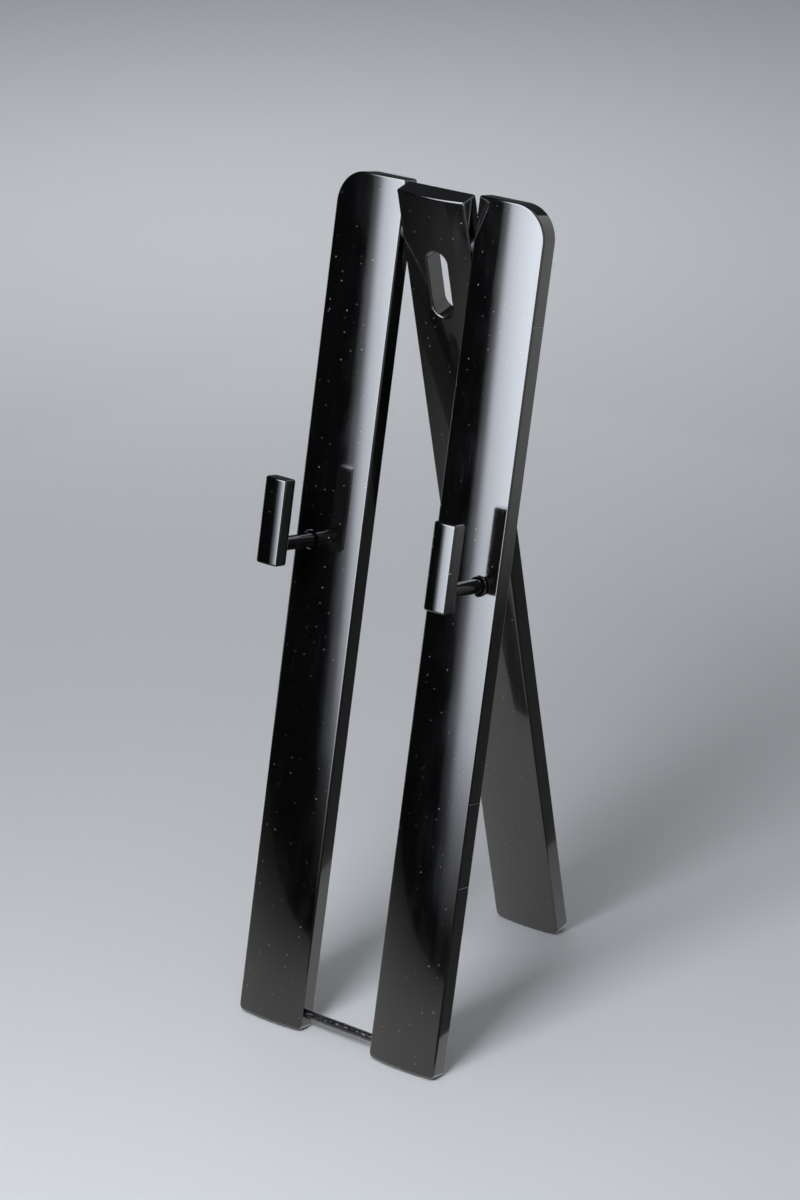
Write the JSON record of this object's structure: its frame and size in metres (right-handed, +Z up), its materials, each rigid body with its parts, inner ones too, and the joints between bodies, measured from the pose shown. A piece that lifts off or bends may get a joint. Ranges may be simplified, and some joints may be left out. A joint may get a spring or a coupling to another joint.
{
  "type": "photo album stand",
  "caption": "Folding easel stand for a photo album: two crowned front slats with pegs, a rear leg hinged between them near the top, and a thin cross rod near the feet.",
  "frame": {"origin": "on the surface that the stand stands on, under the middle of its bounding box, with the stand open as it is used", "axes": "+Z up, +X to the right seen from the front, the crowned front faces and the pegs towards -Y, the leg's foot towards +Y"},
  "size_m": [0.0864, 0.1236, 0.2968],
  "materials": {
    "slat_lacquer": "high gloss black lacquer over solid wood, satin on the edges",
    "plate_lacquer": "high gloss black lacquer over solid wood, satin on the edges",
    "pin_enamel": "gloss black enamel",
    "rod_enamel": "semi-gloss black enamel, slightly lumpy",
    "bare_steel": "plain drawn wire",
    "washer_nylon": "black nylon"
  },
  "bodies": {
    "front_frame": {"left_slat": "slat_lacquer", "right_slat": "slat_lacquer", "hinge_pin": "bare_steel", "left_hinge_washer": "washer_nylon", "right_hinge_washer": "washer_nylon", "cross_rod": "rod_enamel"},
    "rear_leg": {"rear_leg": "slat_lacquer"},
    "left_peg": {"left_peg_pin": "pin_enamel", "left_peg_plate": "plate_lacquer"},
    "right_peg": {"right_peg_pin": "pin_enamel", "right_peg_plate": "plate_lacquer"}
  },
  "joints": [
    {"name": "leg_fold", "type": "hinge", "parent": "front_frame", "child": "rear_leg", "pos_m": [0, 0.00073, 0.27913], "axis": [1, 0, 0], "range_deg": [-22.28, 36.43]},
    {"name": "left_peg_turn", "type": "hinge", "parent": "front_frame", "child": "left_peg", "pos_m": [-0.03565, -0.02626, 0.17106], "axis": [0, -0.979, 0.2038], "continuous": true},
    {"name": "right_peg_turn", "type": "hinge", "parent": "front_frame", "child": "right_peg", "pos_m": [0.03565, -0.02626, 0.17106], "axis": [0, -0.979, 0.2038], "continuous": true}
  ]
}
